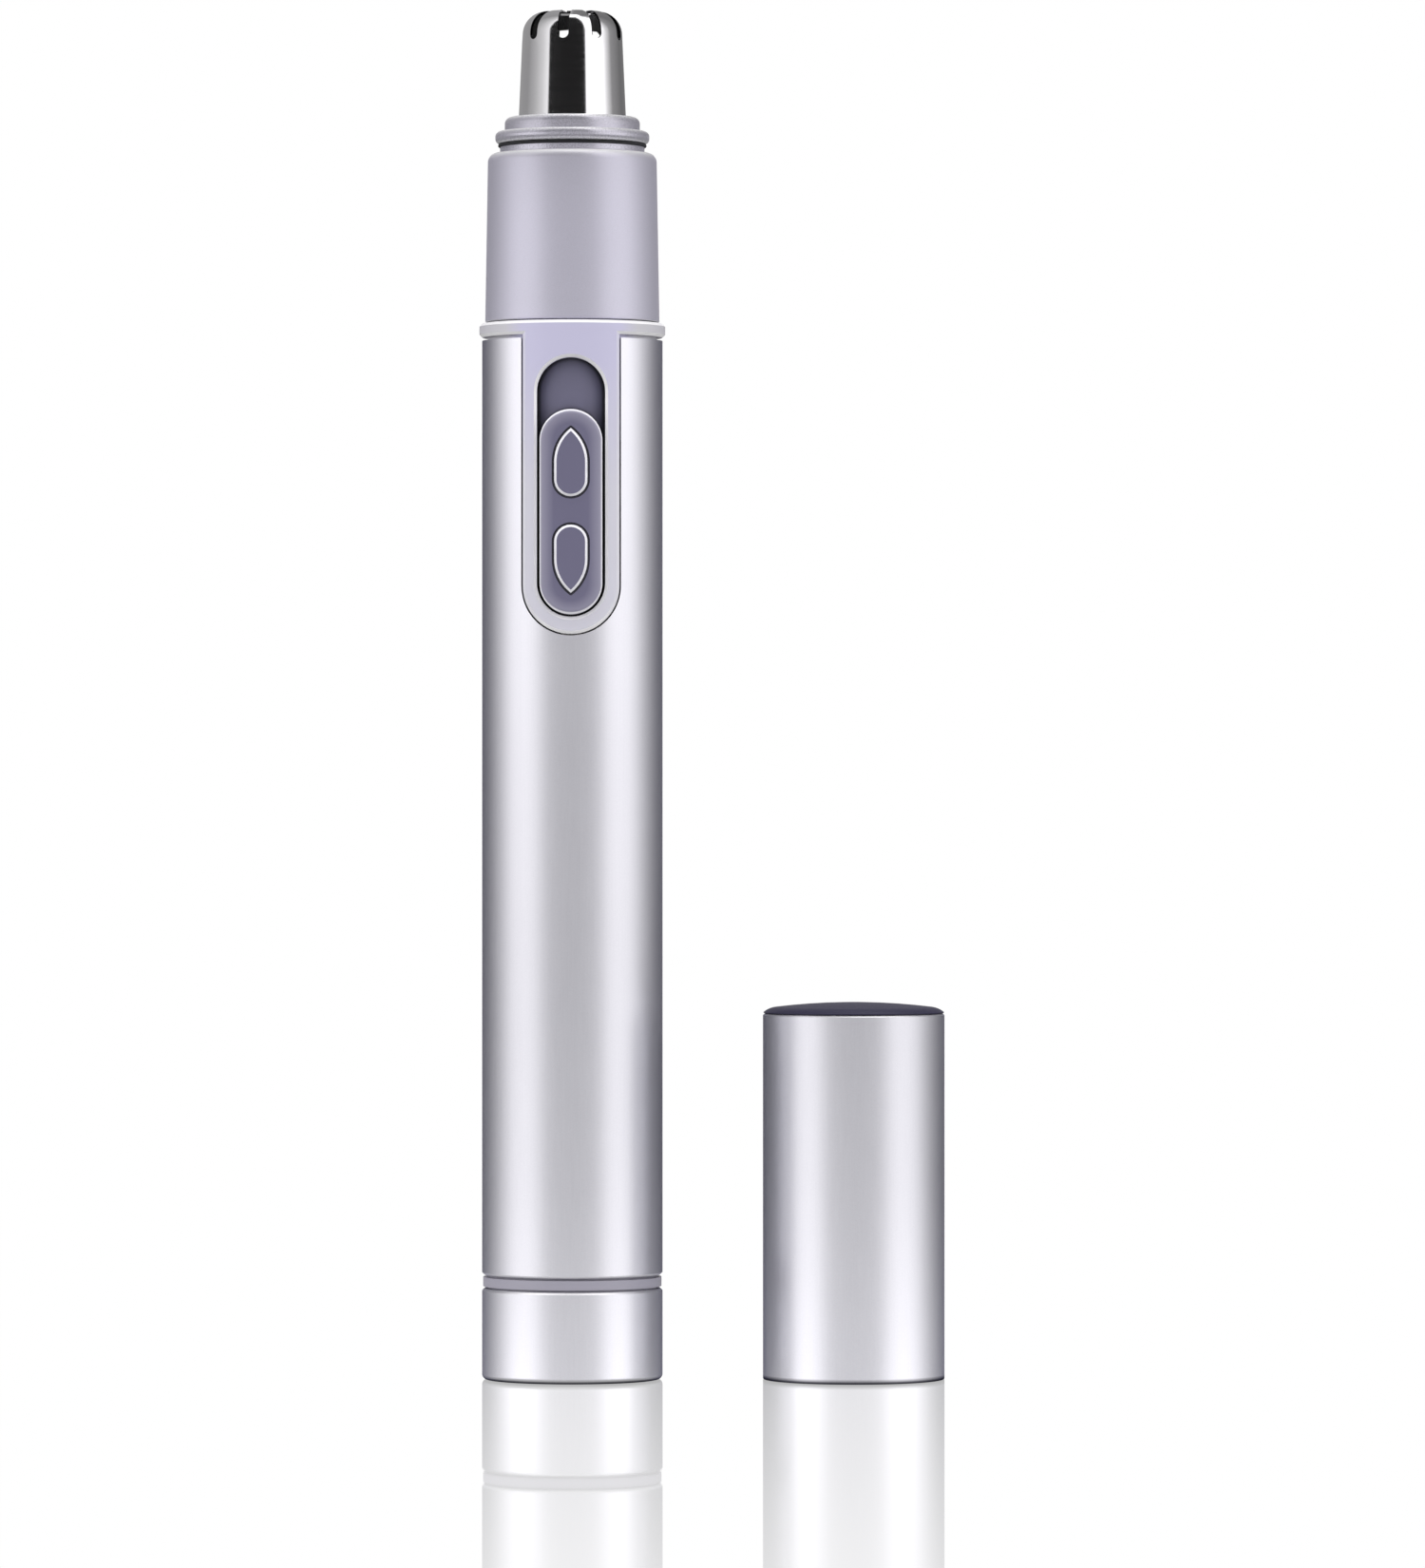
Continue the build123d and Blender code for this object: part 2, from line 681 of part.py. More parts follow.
with BuildPart() as head_ring:
    turned(
        (skirt_bore, skirt_bottom + skirt_chamfer),
        (skirt_bore + skirt_chamfer, skirt_bottom),
        (head_skirt_radius - skirt_chamfer, skirt_bottom),
        (head_skirt_radius, skirt_bottom + 0.5),
        (head_skirt_radius, gasket_bottom),
        (gasket_bore, gasket_bottom),
        (gasket_bore, gasket_top),
        (bead_radius, gasket_top),
        (bead_radius, bead_top),
        (step_radius, bead_top),
        (step_radius, ring_top),
        (guard_bore, ring_top),
        (guard_bore, guard_seat),
        (seat_radius, guard_seat),
        (seat_radius, counterbore_bottom),
        (skirt_bore, counterbore_bottom),
    )
    fillet(rims(head_ring, bead_radius), bead_round)
    fillet(rims(head_ring, step_radius)[-1], step_round)
    chamfer(rims(head_ring, guard_bore)[-1], 0.15)
head_ring.part.label = "head_ring"
export_step(head_ring.part, "parts/head_ring.step")

with BuildPart() as head_gasket:
    ring(gasket_bottom + 0.01, gasket_top - 0.01, gasket_radius, gasket_bore + 0.01)
    fillet(rims(head_gasket, gasket_radius), 0.12)
head_gasket.part.label = "head_gasket"
export_step(head_gasket.part, "parts/head_gasket.step")

# the guard's outline: a slightly conical side, a round shoulder and a flat top
guard_base_radius = 5.15
shoulder_radius = 4.70
shoulder_round = 2.2
shoulder_z = guard_top - shoulder_round
slot_count = 9
slot_width = 1.05
slot_foot = 126.4  # middle of each slot's round lower end
slot_inner = 1.45  # where the slots start, out from the axis
slot_outer = 6.0  # clear of the guard's side
first_slot_angle = -100


def guard_side(inset):
    """The guard's side line and shoulder arc, inset from its outer face, as a wire to the axis."""
    shoulder_start = (shoulder_radius - inset, shoulder_z)
    shoulder_end = (shoulder_radius - shoulder_round, shoulder_z + shoulder_round - inset)
    side = Line((guard_base_radius - inset, guard_foot), shoulder_start)
    diagonal = (shoulder_round - inset) * math.sqrt(0.5)
    centre = (shoulder_radius - shoulder_round, shoulder_z)
    ThreePointArc(shoulder_start, (centre[0] + diagonal, centre[1] + diagonal), shoulder_end)
    Line(shoulder_end, (0, shoulder_end[1]))
    return side


with BuildPart() as guard:
    with BuildSketch(FRONT):
        with BuildLine():
            guard_side(0)
            guard_side(guard_wall)
            Line((0, guard_top), (0, guard_top - guard_wall))
            Line((guard_base_radius, guard_foot), (guard_base_radius - guard_wall, guard_foot))
        make_face()
    revolve(axis=Axis.Z)
    ring(guard_foot, guard_foot + guard_wall, guard_flange, guard_base_radius - guard_wall / 2)
    with BuildSketch(Plane.XY.offset(slot_foot)):
        with PolarLocations(0, slot_count, start_angle=first_slot_angle):
            with Locations(((slot_inner + slot_outer) / 2, 0)):
                SlotOverall(slot_outer - slot_inner, slot_width)
    extrude(amount=guard_top - slot_foot + 1, mode=Mode.SUBTRACT)
    for index in range(slot_count):
        angle = first_slot_angle + index * 360 / slot_count
        radial = Plane(
            origin=(0, 0, slot_foot),
            z_dir=(math.cos(math.radians(angle)), math.sin(math.radians(angle)), 0),
        )
        with BuildSketch(radial.offset(shoulder_radius - 1)):
            Circle(slot_width / 2)
        extrude(amount=slot_outer - shoulder_radius + 1, mode=Mode.SUBTRACT)
guard.part.label = "guard"
export_step(guard.part, "parts/guard.step")

bearing_bottom = 115.5
bearing_top = 116.4
journal_radius = 1.25
drain_radius = 0.9  # four holes that let clippings and oil through
drain_circle = 3.6
with BuildPart() as blade_bearing:
    ring(bearing_bottom, bearing_top, seat_radius - 0.02, journal_radius + 0.05)
    with BuildSketch(Plane.XY.offset(bearing_bottom)):
        with PolarLocations(drain_circle, 4, start_angle=45):
            Circle(drain_radius)
    extrude(amount=bearing_top - bearing_bottom, mode=Mode.SUBTRACT)
blade_bearing.part.label = "blade_bearing"
export_step(blade_bearing.part, "parts/blade_bearing.step")

# ---------------------------------------------------------------- what turns in the cutter head
tenon_side = 1.9
tenon_bottom = 113.3
clip_bottom = 115.15
clip_top = 115.4
clip_groove = 0.95
hub_bottom = 119.8
hub_top = 121.0
hub_radius = 3.6
clip_radius = 2.1
clip_mouth_half = 0.7
spring_radius = 1.75
spring_wire = 0.3
spring_turns = 4

with BuildPart() as blade_stem:
    half = tenon_side / 2
    block((-half, -half, tenon_bottom), (half, half, clip_bottom), mode=Mode.ADD)
    chamfer(blade_stem.edges().group_by(Axis.Z)[0], 0.15)
    ring(clip_bottom, clip_top, clip_groove)
    ring(clip_top, hub_bottom, journal_radius)
    ring(hub_bottom, hub_top, hub_radius)
blade_stem.part.label = "blade_stem"
export_step(blade_stem.part, "parts/blade_stem.step")

with BuildPart() as blade_clip:
    ring(clip_bottom + 0.01, clip_top - 0.01, clip_radius, clip_groove + 0.01)
    block((0, -clip_mouth_half, clip_bottom - 1), (clip_radius + 1, clip_mouth_half, clip_top + 1))
blade_clip.part.label = "blade_clip"
export_step(blade_clip.part, "parts/blade_clip.step")

with BuildPart() as blade_spring:
    coil(bearing_top + 0.05, hub_bottom - 0.02, spring_radius, spring_wire, spring_turns)
blade_spring.part.label = "blade_spring"
export_step(blade_spring.part, "parts/blade_spring.step")

blade_gap = 0.1  # between a blade's edge and the guard
blade_thickness = 0.4
with BuildPart() as cutter_blades:
    for plane in (FRONT, SIDE):
        inset = guard_wall + blade_gap
        with BuildSketch(plane):
            for side in (-1, 1):
                with BuildLine():
                    foot = (4.5, hub_top)
                    shoulder = (shoulder_radius - inset, shoulder_z)
                    crown = (shoulder_radius - shoulder_round, shoulder_z + shoulder_round - inset)
                    diagonal = (shoulder_round - inset) * math.sqrt(0.5)
                    middle = (crown[0] + diagonal, shoulder_z + diagonal)
                    mirrored = [(side * x, z) for x, z in (foot, shoulder, middle, crown)]
                    Line(mirrored[0], mirrored[1])
                    ThreePointArc(*mirrored[1:])
                    Polyline(
                        mirrored[3],
                        (0, crown[1]),
                        (0, crown[1] - 1.3),
                        (side * 2.3, crown[1] - 1.5),
                        (side * 3.1, shoulder_z - 0.6),
                        (side * 3.2, hub_top + 2.2),
                        (side * 2.2, hub_top + 1.1),
                        (0, hub_top + 1.1),
                        (0, hub_top),
                        mirrored[0],
                    )
                make_face()
        extrude(amount=blade_thickness / 2, both=True)
cutter_blades.part.label = "cutter_blades"
export_step(cutter_blades.part, "parts/cutter_blades.step")

# ================================================================ switch slider
button_bottom = 71.8
button_length = 19.15
button_half_width = 2.92
button_centre = button_bottom + button_length / 2
button_inner = 7.35
button_outer = 9.25
pad_outer = 9.5
pad_half_width = 1.55
pad_chamfer = 0.22
pad_tip = 3.15  # from a pad's middle to its point
pad_heel = 3.2  # from its middle to its round end
pad_middles = {1: 86.0, -1: 76.95}  # pad pointing up or down: its middle's height
moat_width = 0.22
moat_floor = 9.08
button_edge_round = 0.4
stem_top = 7.75


def arrow_pads(grow, inner, outer):
    """Both teardrop arrow pads, pointing away from each other, between two radii."""
    with BuildPart() as pads:
        with BuildSketch(FRONT.offset(outside_y)) as outlines:
            for direction, middle in pad_middles.items():
                with BuildLine():
                    tip = middle + direction * pad_tip
                    heel = middle - direction * pad_heel
                    low = heel + direction * pad_half_width
                    Line((-pad_half_width, low), (-pad_half_width, middle))
                    TangentArc((-pad_half_width, middle), (0, tip), tangent=(0, direction))
                    TangentArc((pad_half_width, middle), (0, tip), tangent=(0, direction))
                    Line((pad_half_width, middle), (pad_half_width, low))
                    ThreePointArc((pad_half_width, low), (0, heel), (-pad_half_width, low))
                make_face()
            if grow:
                offset(amount=grow)
        extrude(outlines.sketch, amount=-(outside_y - deep_y))
        ring(60, 100, outer, inner, mode=Mode.INTERSECT)
    return pads.part


raised_pads = arrow_pads(0, button_outer - 0.4, pad_outer)
pad_moats = arrow_pads(moat_width, moat_floor, pad_outer + 0.5)

with BuildPart() as switch_button:
    with BuildSketch(FRONT.offset(outside_y)):
        with Locations((0, button_centre)):
            SlotOverall(button_length, 2 * button_half_width, rotation=90)
    extrude(amount=-(outside_y - deep_y))
    ring(60, 100, button_outer, button_inner, mode=Mode.INTERSECT)
    fillet(cylinder_faces(switch_button, button_outer)[0].edges(), button_edge_round)
    add(pad_moats, mode=Mode.SUBTRACT)
    add(raised_pads)
    chamfer(cylinder_faces(switch_button, pad_outer).edges(), pad_chamfer)
    # the pocket that snaps over the carriage's stem
    block(
        (-stem_half_width - 0.02, -stem_top - 0.02, stem_z - stem_half_length - 0.02),
        (stem_half_width + 0.02, -5, stem_z + stem_half_length + 0.02),
    )
switch_button.part.label = "switch_button"
export_step(switch_button.part, "parts/switch_button.step")

carriage_front = -6.25
carriage_back = -5.72
carriage_half_width = 2.2
carriage_bottom = 75.6
carriage_top = 86.6
bridge_sheet = 0.18
bridge_half_width = 0.9
with BuildPart() as switch_carriage:
    block(
        (-carriage_half_width, carriage_front, carriage_bottom),
        (carriage_half_width, carriage_back, carriage_top),
        mode=Mode.ADD,
    )
    block(
        (-stem_half_width, -stem_top, stem_z - stem_half_length),
        (stem_half_width, carriage_front, stem_z + stem_half_length),
        mode=Mode.ADD,
    )
switch_carriage.part.label = "switch_carriage"
export_step(switch_carriage.part, "parts/switch_carriage.step")

with BuildPart() as switch_bridge:
    leaf = carriage_back + 0.1  # middle of the leaf, on the carriage's back
    bump = strip_y - sheet / 2 - 0.06 - 0.1
    with BuildSketch(SIDE):
        with BuildLine() as leaf_line:
            Polyline(
                (leaf, 77.6), (bump, 78.6), (leaf, 79.6), (leaf, 82.0), (bump, 83.0), (leaf, 84.0)
            )
        trace(leaf_line.line, line_width=bridge_sheet)
    extrude(amount=bridge_half_width, both=True)
switch_bridge.part.label = "switch_bridge"
export_step(switch_bridge.part, "parts/switch_bridge.step")

# ================================================================ protective cap, standing beside
cap_bore = cap_radius - cap_wall
liner_bottom = 17.5
liner_bore = 7.55
liner_lead_in = 0.35
plug_bottom = 32.9
dome_radius = cap_radius - 0.06
plug_radius = cap_bore - 0.03
plug_rim_bottom = cap_height + 0.02
crown_z = plug_rim_bottom + 1.0
crown_edge = 7.4  # where the plug's shallow crown turns down into its rounded rim
crown_drop = 0.45  # from the crown's middle to that edge
rim_drop = 0.92  # from the crown's middle to the foot of the rounded rim
cap_top_chamfer = 0.2
cap_mouth_round = 0.12
cap_plane = Plane(origin=(cap_x, 0, 0))


def cap_ring(bottom, top, outer, inner=0.0, mode=Mode.ADD):
    """A disc or tube on the cap's own axis."""
    with BuildSketch(cap_plane.offset(bottom)) as section:
        Circle(outer)
        if inner:
            Circle(inner, mode=Mode.SUBTRACT)
    extrude(section.sketch, amount=top - bottom, mode=mode)


with BuildPart() as cap_shell:
    cap_ring(0, cap_height, cap_radius, cap_bore)
    chamfer(rims(cap_shell, cap_radius, cap_x)[-1], cap_top_chamfer)
    fillet(rims(cap_shell, cap_radius, cap_x)[0], cap_mouth_round)
cap_shell.part.label = "cap_shell"
export_step(cap_shell.part, "parts/cap_shell.step")

with BuildPart() as cap_liner:
    cap_ring(liner_bottom, plug_bottom - clearance, plug_radius, liner_bore)
    chamfer(rims(cap_liner, liner_bore, cap_x)[0], liner_lead_in)
cap_liner.part.label = "cap_liner"
export_step(cap_liner.part, "parts/cap_liner.step")

with BuildPart() as cap_plug:
    with BuildSketch(Plane(origin=(cap_x, 0, 0), z_dir=(0, -1, 0), x_dir=(1, 0, 0))):
        with BuildLine():
            ball = (crown_edge**2 + crown_drop**2) / (2 * crown_drop)
            half_way = crown_edge / 2
            half_z = crown_z - ball + math.sqrt(ball**2 - half_way**2)
            Polyline(
                (0, crown_z),
                (0, plug_bottom),
                (plug_radius, plug_bottom),
                (plug_radius, plug_rim_bottom),
                (dome_radius, plug_rim_bottom),
                (dome_radius, crown_z - rim_drop),
            )
            ThreePointArc((0, crown_z), (half_way, half_z), (crown_edge, crown_z - crown_drop))
            TangentArc(
                (crown_edge, crown_z - crown_drop),
                (dome_radius, crown_z - rim_drop),
                tangent=(ball - crown_drop, -crown_edge),
            )
        make_face()
    revolve(axis=Axis(origin=(cap_x, 0, 0), direction=(0, 0, 1)))
cap_plug.part.label = "cap_plug"
export_step(cap_plug.part, "parts/cap_plug.step")
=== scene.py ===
"""Looks for the nose hair trimmer: materials for every CAD piece, a white studio and the camera.

Everything is in metres, in the CAD model's own frame: the trimmer stands on z = 0 with its switch
towards -Y, and its cap stands beside it towards +X.
"""

import json
import math

import bpy
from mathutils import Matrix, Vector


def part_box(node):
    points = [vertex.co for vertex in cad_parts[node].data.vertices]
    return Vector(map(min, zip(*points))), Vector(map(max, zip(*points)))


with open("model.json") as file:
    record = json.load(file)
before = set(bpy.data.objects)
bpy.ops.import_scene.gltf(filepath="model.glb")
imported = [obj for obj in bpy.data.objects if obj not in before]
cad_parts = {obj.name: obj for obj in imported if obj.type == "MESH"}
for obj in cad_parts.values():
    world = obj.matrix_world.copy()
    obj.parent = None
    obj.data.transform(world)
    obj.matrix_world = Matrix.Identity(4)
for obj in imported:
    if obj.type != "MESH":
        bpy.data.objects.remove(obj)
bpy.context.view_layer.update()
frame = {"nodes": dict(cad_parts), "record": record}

NODES = frame["nodes"]
MM = 0.001
WHITE = (1.0, 1.0, 1.0)
scene = bpy.context.scene


# ---------------------------------------------------------------- node trees
class Tree:
    """A node tree, with short calls for the nodes that the finishes and the studio share."""

    def __init__(self, owner):
        """Empties the tree of a material or a world."""
        owner.use_nodes = True
        self.tree = owner.node_tree
        self.tree.nodes.clear()

    def add(self, kind, **settings):
        node = self.tree.nodes.new(kind)
        for key, value in settings.items():
            setattr(node, key, value)
        return node

    def join(self, source, target):
        self.tree.links.new(source, target)

    def feed(self, socket, value):
        """Puts a number, a colour or another node's output into a socket."""
        if isinstance(value, (tuple, list)):
            socket.default_value = (*value, 1.0)
        elif isinstance(value, (int, float)):
            socket.default_value = value
        else:
            self.join(value, socket)

    def math(self, operation, a, b=0.0):
        node = self.add("ShaderNodeMath", operation=operation)
        self.feed(node.inputs[0], a)
        self.feed(node.inputs[1], b)
        return node.outputs[0]

    def dot(self, a, b):
        node = self.add("ShaderNodeVectorMath", operation="DOT_PRODUCT")
        self.join(a, node.inputs[0])
        self.join(b, node.inputs[1])
        return node.outputs["Value"]

    def spread(self, source, from_low, from_high, low=0, high=1):
        """A value mapped from from_low..from_high to low..high, and held at the ends."""
        node = self.add("ShaderNodeMapRange")
        values = {"From Min": from_low, "From Max": from_high, "To Min": low, "To Max": high}
        for key, value in values.items():
            self.feed(node.inputs[key], value)
        self.join(source, node.inputs["Value"])
        return node.outputs["Result"]

    def mix(self, factor, low, high):
        node = self.add("ShaderNodeMix", data_type="RGBA")
        self.feed(node.inputs["Factor"], factor)
        self.feed(node.inputs[6], low)
        self.feed(node.inputs[7], high)
        return node.outputs[2]

    def parts(self, vector):
        node = self.add("ShaderNodeSeparateXYZ")
        self.join(vector, node.inputs[0])
        return node.outputs

    def coordinates(self, kind):
        return self.add("ShaderNodeTexCoord").outputs[kind]

    def glow(self, kind, colour=WHITE, strength=1.0):
        """A shader that gives light: a world's background or a surface's emission."""
        node = self.add(kind)
        self.feed(node.inputs["Color"], colour)
        self.feed(node.inputs["Strength"], strength)
        return node.outputs[0]

    def mix_shaders(self, factor, low, high):
        node = self.add("ShaderNodeMixShader")
        for socket, source in zip(node.inputs, (factor, low, high)):
            self.join(source, socket)
        return node.outputs[0]

    def by_camera_ray(self, otherwise, seen):
        """One shader for what the camera sees, and another for what lights and reflects."""
        camera_ray = self.add("ShaderNodeLightPath").outputs["Is Camera Ray"]
        return self.mix_shaders(camera_ray, otherwise, seen)

    def output(self, shader, kind="ShaderNodeOutputMaterial"):
        self.join(shader, self.add(kind).inputs["Surface"])


# Most of a noise texture's values lie in this range.
NOISE_RANGE = (0.3, 0.7)


class Finish(Tree):
    """A piece's material: one Principled shader fed by procedural grain."""

    def __init__(self, name):
        self.material = bpy.data.materials.new(name)
        super().__init__(self.material)
        self.shader = self.add("ShaderNodeBsdfPrincipled")
        self.output(self.shader.outputs["BSDF"])
        self.place = self.coordinates("Object")

    def set(self, **values):
        """Plain values on the shader's own sockets, such as metallic=1 or coat_weight=0.2."""
        for key, value in values.items():
            socket = key.replace("_", " ").title().replace("Ior", "IOR")
            self.shader.inputs[socket].default_value = value

    def noise(self, size_mm, detail=2.0, roughness=0.5, grain=(1, 1, 1)):
        """Noise about size_mm across, drawn out along the axes that grain makes small."""
        stretch = self.add("ShaderNodeMapping")
        stretch.inputs["Scale"].default_value = grain
        self.join(self.place, stretch.inputs["Vector"])
        node = self.add("ShaderNodeTexNoise")
        node.inputs["Scale"].default_value = 1 / (size_mm * MM)
        node.inputs["Detail"].default_value = detail
        node.inputs["Roughness"].default_value = roughness
        self.join(stretch.outputs[0], node.inputs["Vector"])
        return node.outputs["Fac"]

    def fine_noise(self, size_mm, grain=(1, 1, 1)):
        """Sharper noise, for moulded grain and for brushed or turned lines."""
        return self.noise(size_mm, detail=3, roughness=0.6, grain=grain)

    def blend(self, *pairs):
        """A weighted sum of (value, weight) pairs."""
        total = 0.0
        for value, weight in pairs:
            total = self.math("ADD", self.math("MULTIPLY", value, weight), total)
        return total

    def open_air(self, reach_mm, closed, clear):
        """From 0 where less than closed of the sky is open to 1 where more than clear of it is."""
        node = self.add("ShaderNodeAmbientOcclusion", samples=8)
        node.inputs["Distance"].default_value = reach_mm * MM
        return self.spread(node.outputs["AO"], closed, clear)

    def normal(self):
        return self.add("ShaderNodeNewGeometry").outputs["Normal"]

    def facing_out(self):
        """1 where a face looks straight out from the trimmer's axis, 0 where it is level."""
        level = self.add("ShaderNodeVectorMath", operation="MULTIPLY")
        self.join(self.place, level.inputs[0])
        level.inputs[1].default_value = (1, 1, 0)
        outward = self.add("ShaderNodeVectorMath", operation="NORMALIZE")
        self.join(level.outputs[0], outward.inputs[0])
        return self.dot(self.normal(), outward.outputs[0])

    def colour(self, source):
        self.feed(self.shader.inputs["Base Color"], source)

    def relief(self, grain, roughness, swing, depth_mm):
        """An uneven sheen and a fine bump that both follow the grain."""
        sheen = self.spread(grain, *NOISE_RANGE, roughness - swing, roughness + swing)
        self.join(sheen, self.shader.inputs["Roughness"])
        node = self.add("ShaderNodeBump")
        node.inputs["Distance"].default_value = depth_mm * MM
        self.join(grain, node.inputs["Height"])
        self.join(node.outputs["Normal"], self.shader.inputs["Normal"])

    def moulded(self, roughness, grain_mm=0.25, depth_mm=0.003):
        """The fine spark-eroded grain of moulded plastic."""
        self.relief(self.fine_noise(grain_mm), roughness, 0.05, depth_mm)


def shade(colour, factor):
    return tuple(min(1.0, channel * factor) for channel in colour)


# ---------------------------------------------------------------- the finishes
ALONG_TUBE = (1, 1, 0.03)  # grain that runs up and down
ROUND_TUBE = (0.05, 0.05, 1)  # turning marks round the axis
EDGE_HIGHLIGHT = (0.97, 0.97, 0.98)  # painted highlight on a cut rim or a round of metal or paint
MOTTLING = 0.04  # how far a colour strays to either side over a plain piece


def mottled(finish, tone, colour, swing):
    """A colour that strays by a share of itself to either side, as the tone goes from 0 to 1."""
    return finish.mix(tone, shade(colour, 1 - swing), shade(colour, 1 + swing))


def flow(finish, colour, swing=0.02):
    """A colour with the faint flow marks of moulded plastic."""
    return mottled(finish, finish.noise(9, detail=3), colour, swing)


def plastic(name, colour, roughness, grain_mm=0.25, grain_depth_mm=0.003, **values):
    """Moulded plastic: a fine spark-eroded grain, faint flow marks and an uneven sheen."""
    finish = Finish(name)
    finish.set(**values)
    finish.colour(flow(finish, colour, MOTTLING))
    finish.moulded(roughness, grain_mm, grain_depth_mm)
    return finish.material


def bevels(finish, flat, turned):
    """1 on bevels and rounds that turn from an upright face, 0 on that face and on level ones."""
    facing = finish.facing_out()
    past_face = finish.spread(facing, turned, flat, 1, 0)
    not_level = finish.spread(facing, 0.2, 0.4)
    return finish.math("MULTIPLY", past_face, not_level)


def painted_highlights_and_shade(finish, face, highlight_colour, shade_colour, gap_mm, closed, clear):
    """A face colour with painted highlights on its bevels, broken up by noise, and painted shade in
    narrow gaps, as open_air tells them.
    """
    highlight_breakup = finish.spread(finish.noise(1.2, detail=3), 0.35, 0.6, 0.9, 1.0)
    # Painted highlight on bevels and rounds, broken up by noise.
    highlights = finish.math("MULTIPLY", bevels(finish, 0.93, 0.76), highlight_breakup)
    surface = finish.mix(highlights, face, highlight_colour)
    # Painted shade: the given dark colour where little of the sky is open.
    finish.colour(finish.mix(finish.open_air(gap_mm, closed, clear), shade_colour, surface))
    finish.moulded(0.36)


def collar_plastic():
    """Lavender tongue, whiter down its frame, with a paler flange, painted white highlights on its
    rims and painted shade in narrow gaps.
    """
    finish = Finish("lavender_plastic")
    tongue_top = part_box("collar")[1].z - 8 * MM  # the top spigot stands 8 mm above it
    x, y, z = finish.parts(finish.place)
    down = finish.spread(z, tongue_top - 12 * MM, tongue_top, 1, 0)
    top, frame_colour = flow(finish, (0.61, 0.595, 0.775)), flow(finish, (0.67, 0.665, 0.735))
    tongue = finish.mix(down, top, frame_colour)
    aside = finish.spread(finish.math("ABSOLUTE", x), 4.6 * MM, 6.2 * MM)
    behind = finish.spread(y, -3 * MM, -1 * MM)
    flange = flow(finish, (0.61, 0.605, 0.635))
    face = finish.mix(finish.math("MAXIMUM", aside, behind), tongue, flange)
    # Painted white highlights on the rims, and painted near-black shade in narrow gaps.
    painted_highlights_and_shade(finish, face, (0.98, 0.98, 0.98), (0.02, 0.02, 0.03), 0.12, 0.05, 0.55)
    return finish.material


def button_plastic():
    """Dark slide switch with a painted highlight that pales it towards its rim, painted white
    highlights on its rounds and painted black shade in narrow gaps.
    """
    finish = Finish("button_plastic")
    low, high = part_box("switch_button")
    half_width = (high.x - low.x) / 2
    straight = (high.z - low.z) / 2 - half_width
    x, _, z = finish.parts(finish.place)
    rise = finish.math("ABSOLUTE", finish.math("SUBTRACT", z, (low.z + high.z) / 2))
    past = finish.math("MAXIMUM", finish.math("SUBTRACT", rise, straight), 0.0)
    squares = finish.math("ADD", finish.math("MULTIPLY", x, x), finish.math("MULTIPLY", past, past))
    from_middle = finish.math("SQRT", squares)
    # Painted highlight: the face pales towards its rim, standing in for light on its rounded edge.
    rim_highlight = finish.spread(from_middle, 0.55 * half_width, 0.98 * half_width)
    face = finish.mix(rim_highlight, flow(finish, (0.158, 0.151, 0.235)), flow(finish, (0.32, 0.31, 0.40)))
    # Painted white highlights on the rounds, and painted black shade in narrow gaps.
    painted_highlights_and_shade(finish, face, (0.95, 0.95, 0.98), (0.008, 0.008, 0.012), 0.26, 0.5, 0.85)
    return finish.material


def slot_plastic():
    """The floor of the switch's slot, with painted shade along its walls and painted black shade at
    their feet.
    """
    finish = Finish("slot_plastic")
    by_walls = finish.open_air(2.2, 0.2, 0.8)
    by_feet = finish.open_air(0.5, 0.55, 0.9)
    # Painted shade along the walls, and painted black shade at their feet.
    face = finish.mix(by_walls, (0.015, 0.015, 0.025), flow(finish, (0.175, 0.17, 0.25)))
    finish.colour(finish.mix(by_feet, (0.004, 0.004, 0.006), face))
    finish.moulded(0.42)
    return finish.material


def metal(name, colour, roughness, brush=(1, 1, 1), brush_mm=0.2):
    """Bare or plated metal: grain drawn out along one axis by brush, and faint handling marks."""
    finish = Finish(name)
    finish.set(metallic=1.0)
    lines = finish.fine_noise(brush_mm, brush)
    tone = finish.blend((lines, 0.5), (finish.noise(6, detail=4), 0.5))
    finish.colour(mottled(finish, tone, colour, MOTTLING))
    finish.relief(lines, roughness, 0.04, 0.002)
    return finish.material


def anodised_aluminium():
    """Satin anodised tube: pearly speckle over faint drawing lines, with painted highlights on its
    cut rims, painted shade in narrow gaps and a painted contact shadow at its foot.
    """
    finish = Finish("anodised_aluminium")
    finish.set(metallic=1.0, specular_tint=(0.15, 0.15, 0.26, 1.0))
    speckle = finish.noise(0.16, roughness=0.7)
    grain = finish.blend((speckle, 0.6), (finish.fine_noise(0.12, ALONG_TUBE), 0.4))
    tone = finish.blend((grain, 0.75), (finish.noise(14, detail=3), 0.25))
    tone = finish.spread(tone, *NOISE_RANGE)
    surface = finish.mix(tone, (0.69, 0.69, 0.725), (0.757, 0.757, 0.79))
    # Painted highlight: rims and chamfers that face up or down take a near-white colour.
    level = finish.math("ABSOLUTE", finish.parts(finish.normal())["Z"])
    surface = finish.mix(finish.spread(level, 0.2, 0.5), surface, EDGE_HIGHLIGHT)
    # Painted shade: near black in narrow gaps, and a painted contact shadow fading out over the
    # bottom half millimetre of the foot.
    above_foot = finish.spread(finish.parts(finish.place)["Z"], 0.12 * MM, 0.5 * MM)
    open_air = finish.math("MULTIPLY", finish.open_air(0.25, 0.1, 0.6), above_foot)
    finish.colour(finish.mix(open_air, (0.03, 0.03, 0.04), surface))
    finish.relief(grain, 0.38, 0.04, 0.0012)
    return finish.material


